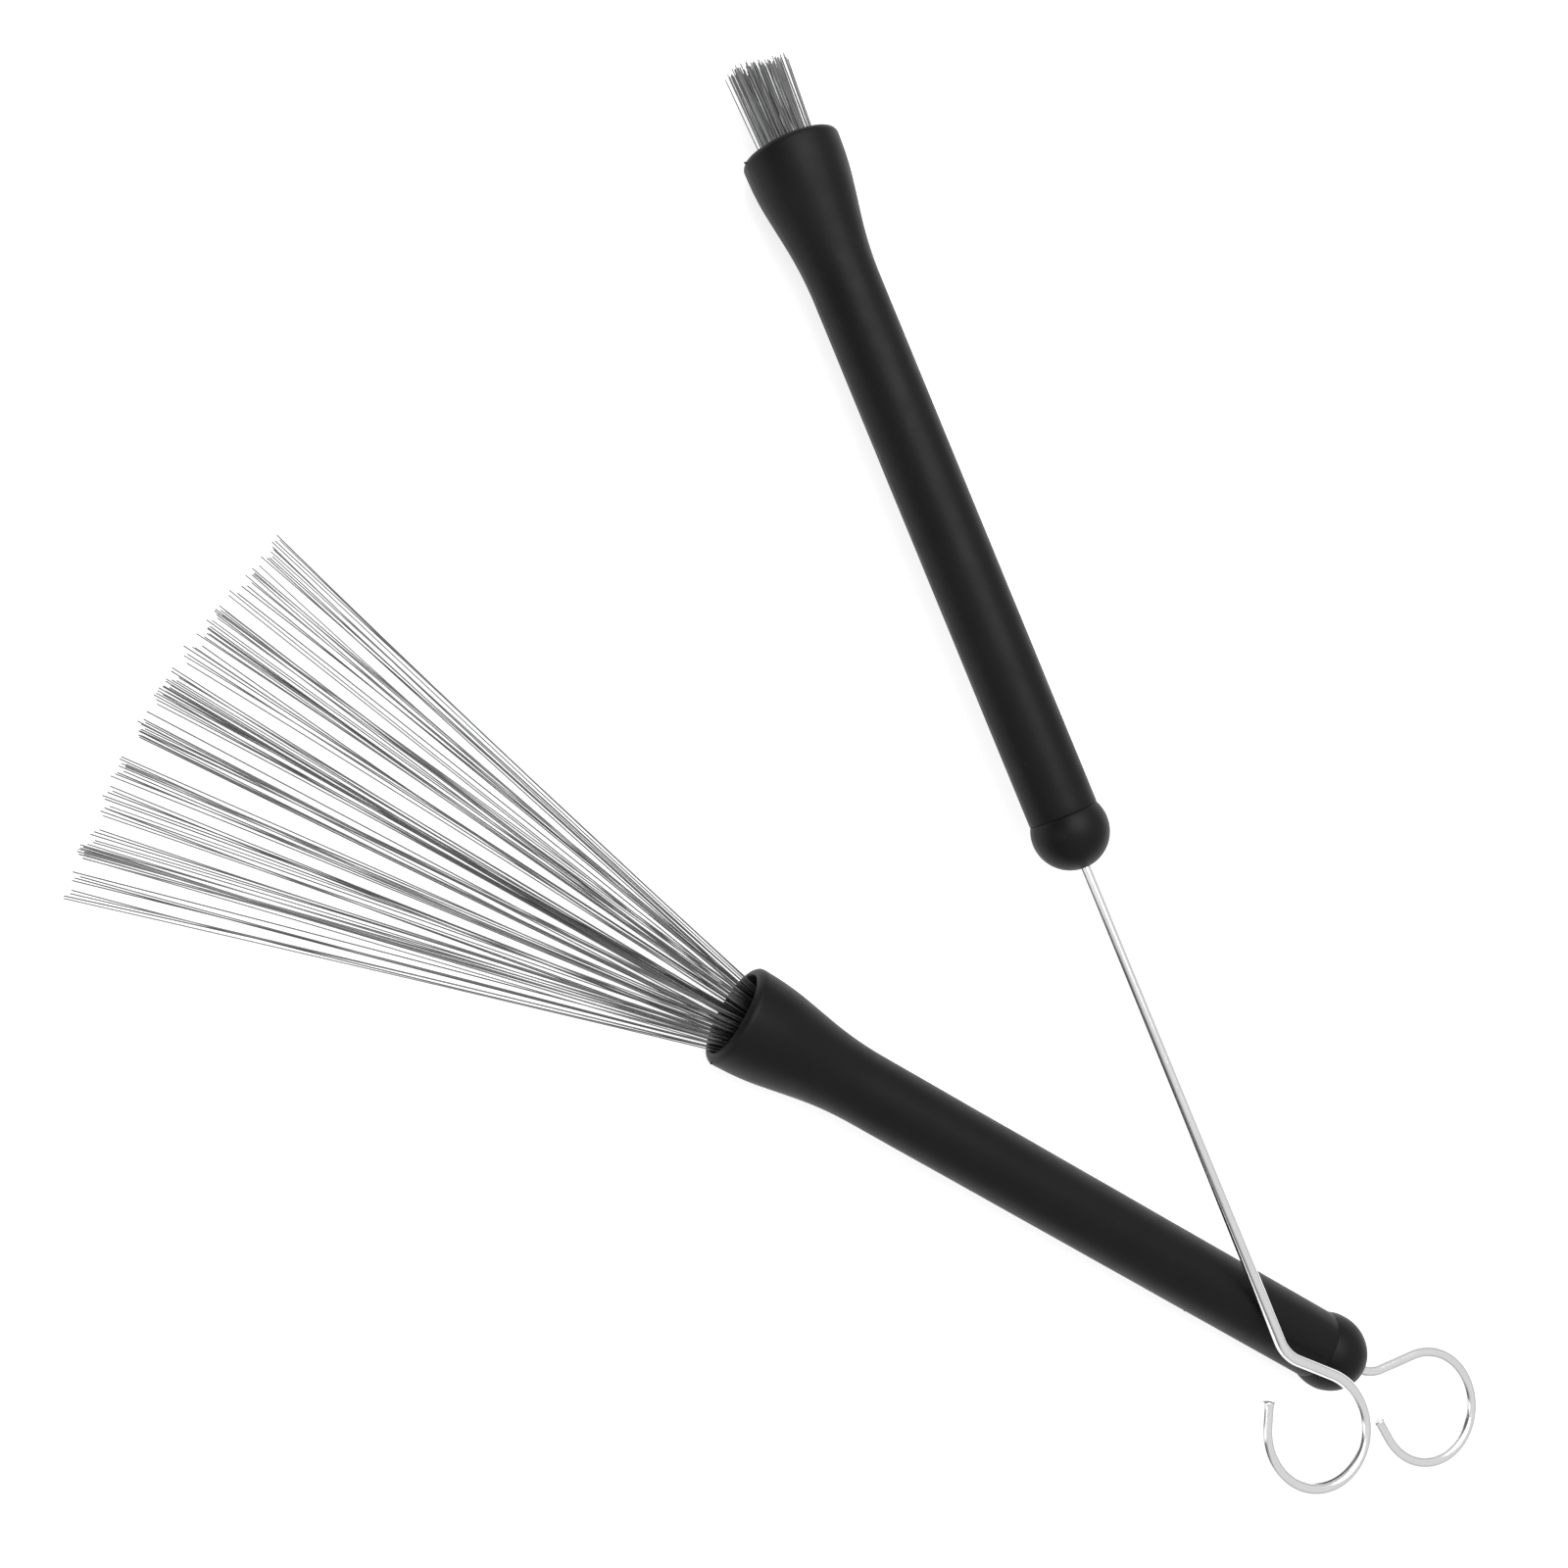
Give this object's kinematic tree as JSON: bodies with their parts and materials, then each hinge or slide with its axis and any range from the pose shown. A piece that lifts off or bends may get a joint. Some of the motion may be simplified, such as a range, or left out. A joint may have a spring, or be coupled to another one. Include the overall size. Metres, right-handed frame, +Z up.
{
  "type": "wire drum brushes",
  "caption": "Pair of retractable wire drum brushes with rubber grips and looped pull rods, one fanned out and one drawn in.",
  "frame": {"origin": "centre of the pair's outline on the table top they lie on", "axes": "+Z up from the table, +X along the opened brush towards its fan, the drawn-in brush at -Y"},
  "size_m": [0.32, 0.2218, 0.0235],
  "materials": {
    "rubber": "satin moulded black rubber",
    "tube_aluminium": "drawn tube, matt",
    "bush_plastic": "moulded nylon",
    "ferrule_steel": "crimped, dull",
    "rod_metal": "bright drawn wire with fine lengthwise lines",
    "wire_steel": "bright spring steel wire"
  },
  "bodies": {
    "brush_a_handle": {"brush_a_grip": "rubber", "brush_a_end_ball": "rubber", "brush_a_tube": "tube_aluminium", "brush_a_rear_bush": "bush_plastic"},
    "brush_a_plunger": {"brush_a_pull_rod": "rod_metal", "brush_a_ferrule": "ferrule_steel"},
    "brush_a_wires_1": {"brush_a_wires_1": "wire_steel"},
    "brush_a_wires_2": {"brush_a_wires_2": "wire_steel"},
    "brush_a_wires_3": {"brush_a_wires_3": "wire_steel"},
    "brush_a_wires_4": {"brush_a_wires_4": "wire_steel"},
    "brush_a_wires_5": {"brush_a_wires_5": "wire_steel"},
    "brush_a_wires_6": {"brush_a_wires_6": "wire_steel"},
    "brush_a_wires_7": {"brush_a_wires_7": "wire_steel"},
    "brush_a_wires_8": {"brush_a_wires_8": "wire_steel"},
    "brush_a_wires_9": {"brush_a_wires_9": "wire_steel"},
    "brush_b_handle": {"brush_b_grip": "rubber", "brush_b_end_ball": "rubber", "brush_b_tube": "tube_aluminium", "brush_b_rear_bush": "bush_plastic"},
    "brush_b_plunger": {"brush_b_pull_rod": "rod_metal", "brush_b_ferrule": "ferrule_steel"},
    "brush_b_wires_1": {"brush_b_wires_1": "wire_steel"},
    "brush_b_wires_2": {"brush_b_wires_2": "wire_steel"},
    "brush_b_wires_3": {"brush_b_wires_3": "wire_steel"},
    "brush_b_wires_4": {"brush_b_wires_4": "wire_steel"},
    "brush_b_wires_5": {"brush_b_wires_5": "wire_steel"},
    "brush_b_wires_6": {"brush_b_wires_6": "wire_steel"},
    "brush_b_wires_7": {"brush_b_wires_7": "wire_steel"},
    "brush_b_wires_8": {"brush_b_wires_8": "wire_steel"},
    "brush_b_wires_9": {"brush_b_wires_9": "wire_steel"}
  },
  "joints": [
    {"name": "brush_b_lift", "type": "slide", "parent": "brush_a_handle", "child": "brush_b_handle", "axis": [0, 0, 1], "range_m": [0, 0.08]},
    {"name": "brush_a_plunger_slide", "type": "slide", "parent": "brush_a_handle", "child": "brush_a_plunger", "axis": [-0.9999, 0, -0.0164], "range_m": [0, 0.1065], "deforming": ["brush_a_wires_1", "brush_a_wires_2", "brush_a_wires_3", "brush_a_wires_4", "brush_a_wires_5", "brush_a_wires_6", "brush_a_wires_7", "brush_a_wires_8", "brush_a_wires_9"]},
    {"name": "brush_a_wires_1_spread", "type": "hinge", "parent": "brush_a_plunger", "child": "brush_a_wires_1", "pos_m": [0.01897, 0.06613, 0.01127], "axis": [-0.0164, 0, 0.9999], "range_deg": [0, 12.8]},
    {"name": "brush_a_wires_2_spread", "type": "hinge", "parent": "brush_a_plunger", "child": "brush_a_wires_2", "pos_m": [0.01899, 0.06673, 0.00975], "axis": [-0.0164, 0, 0.9999], "range_deg": [0, 9.34]},
    {"name": "brush_a_wires_3_spread", "type": "hinge", "parent": "brush_a_plunger", "child": "brush_a_wires_3", "pos_m": [0.01894, 0.06733, 0.01279], "axis": [-0.0164, 0, 0.9999], "range_deg": [0, 5.88]},
    {"name": "brush_a_wires_4_spread", "type": "hinge", "parent": "brush_a_plunger", "child": "brush_a_wires_4", "pos_m": [0.01902, 0.06793, 0.00823], "axis": [-0.0164, 0, 0.9999], "range_deg": [0, 2.42]},
    {"name": "brush_a_wires_5_spread", "type": "hinge", "parent": "brush_a_plunger", "child": "brush_a_wires_5", "pos_m": [0.01903, 0.06853, 0.00747], "axis": [-0.0164, 0, 0.9999], "range_deg": [-1.05, 0]},
    {"name": "brush_a_wires_6_spread", "type": "hinge", "parent": "brush_a_plunger", "child": "brush_a_wires_6", "pos_m": [0.01893, 0.06913, 0.01355], "axis": [-0.0164, 0, 0.9999], "range_deg": [-4.52, 0]},
    {"name": "brush_a_wires_7_spread", "type": "hinge", "parent": "brush_a_plunger", "child": "brush_a_wires_7", "pos_m": [0.01901, 0.06973, 0.00899], "axis": [-0.0164, 0, 0.9999], "range_deg": [-7.98, 0]},
    {"name": "brush_a_wires_8_spread", "type": "hinge", "parent": "brush_a_plunger", "child": "brush_a_wires_8", "pos_m": [0.01896, 0.07033, 0.01203], "axis": [-0.0164, 0, 0.9999], "range_deg": [-11.44, 0]},
    {"name": "brush_a_wires_9_spread", "type": "hinge", "parent": "brush_a_plunger", "child": "brush_a_wires_9", "pos_m": [0.01898, 0.07093, 0.01051], "axis": [-0.0164, 0, 0.9999], "range_deg": [-14.9, 0]},
    {"name": "brush_b_plunger_slide", "type": "slide", "parent": "brush_b_handle", "child": "brush_b_plunger", "axis": [-0.7812, 0.6236, 0.0295], "range_m": [-0.1065, 0], "deforming": ["brush_b_wires_1", "brush_b_wires_2", "brush_b_wires_3", "brush_b_wires_4", "brush_b_wires_5", "brush_b_wires_6", "brush_b_wires_7", "brush_b_wires_8", "brush_b_wires_9"]},
    {"name": "brush_b_wires_1_spread", "type": "hinge", "parent": "brush_b_plunger", "child": "brush_b_wires_1", "pos_m": [0.0123, -0.01997, 0.01507], "axis": [0.023, -0.0184, 0.9996], "range_deg": [-12.8, 0]},
    {"name": "brush_b_wires_2_spread", "type": "hinge", "parent": "brush_b_plunger", "child": "brush_b_wires_2", "pos_m": [0.01264, -0.01947, 0.01355], "axis": [0.023, -0.0184, 0.9996], "range_deg": [-9.34, 0]},
    {"name": "brush_b_wires_3_spread", "type": "hinge", "parent": "brush_b_plunger", "child": "brush_b_wires_3", "pos_m": [0.01309, -0.01906, 0.01659], "axis": [0.023, -0.0184, 0.9996], "range_deg": [-5.88, 0]},
    {"name": "brush_b_wires_4_spread", "type": "hinge", "parent": "brush_b_plunger", "child": "brush_b_wires_4", "pos_m": [0.01336, -0.01851, 0.01203], "axis": [0.023, -0.0184, 0.9996], "range_deg": [-2.42, 0]},
    {"name": "brush_b_wires_5_spread", "type": "hinge", "parent": "brush_b_plunger", "child": "brush_b_wires_5", "pos_m": [0.01371, -0.01802, 0.01127], "axis": [0.023, -0.0184, 0.9996], "range_deg": [0, 1.05]},
    {"name": "brush_b_wires_6_spread", "type": "hinge", "parent": "brush_b_plunger", "child": "brush_b_wires_6", "pos_m": [0.01423, -0.01767, 0.01735], "axis": [0.023, -0.0184, 0.9996], "range_deg": [0, 4.52]},
    {"name": "brush_b_wires_7_spread", "type": "hinge", "parent": "brush_b_plunger", "child": "brush_b_wires_7", "pos_m": [0.0145, -0.01711, 0.01279], "axis": [0.023, -0.0184, 0.9996], "range_deg": [0, 7.98]},
    {"name": "brush_b_wires_8_spread", "type": "hinge", "parent": "brush_b_plunger", "child": "brush_b_wires_8", "pos_m": [0.01494, -0.0167, 0.01583], "axis": [0.023, -0.0184, 0.9996], "range_deg": [0, 11.44]},
    {"name": "brush_b_wires_9_spread", "type": "hinge", "parent": "brush_b_plunger", "child": "brush_b_wires_9", "pos_m": [0.01528, -0.0162, 0.01431], "axis": [0.023, -0.0184, 0.9996], "range_deg": [0, 14.9]}
  ],
  "couplings": [
    {"joint": "brush_a_wires_1_spread", "follows": "brush_a_plunger_slide", "rad_per_m": 2.0977},
    {"joint": "brush_a_wires_2_spread", "follows": "brush_a_plunger_slide", "rad_per_m": 1.5302},
    {"joint": "brush_a_wires_3_spread", "follows": "brush_a_plunger_slide", "rad_per_m": 0.9628},
    {"joint": "brush_a_wires_4_spread", "follows": "brush_a_plunger_slide", "rad_per_m": 0.39536},
    {"joint": "brush_a_wires_5_spread", "follows": "brush_a_plunger_slide", "rad_per_m": -0.17207},
    {"joint": "brush_a_wires_6_spread", "follows": "brush_a_plunger_slide", "rad_per_m": -0.73951},
    {"joint": "brush_a_wires_7_spread", "follows": "brush_a_plunger_slide", "rad_per_m": -1.3069},
    {"joint": "brush_a_wires_8_spread", "follows": "brush_a_plunger_slide", "rad_per_m": -1.8744},
    {"joint": "brush_a_wires_9_spread", "follows": "brush_a_plunger_slide", "rad_per_m": -2.4418},
    {"joint": "brush_b_wires_1_spread", "follows": "brush_b_plunger_slide", "rad_per_m": 2.0977},
    {"joint": "brush_b_wires_2_spread", "follows": "brush_b_plunger_slide", "rad_per_m": 1.5302},
    {"joint": "brush_b_wires_3_spread", "follows": "brush_b_plunger_slide", "rad_per_m": 0.9628},
    {"joint": "brush_b_wires_4_spread", "follows": "brush_b_plunger_slide", "rad_per_m": 0.39536},
    {"joint": "brush_b_wires_5_spread", "follows": "brush_b_plunger_slide", "rad_per_m": -0.17207},
    {"joint": "brush_b_wires_6_spread", "follows": "brush_b_plunger_slide", "rad_per_m": -0.73951},
    {"joint": "brush_b_wires_7_spread", "follows": "brush_b_plunger_slide", "rad_per_m": -1.3069},
    {"joint": "brush_b_wires_8_spread", "follows": "brush_b_plunger_slide", "rad_per_m": -1.8744},
    {"joint": "brush_b_wires_9_spread", "follows": "brush_b_plunger_slide", "rad_per_m": -2.4418}
  ]
}
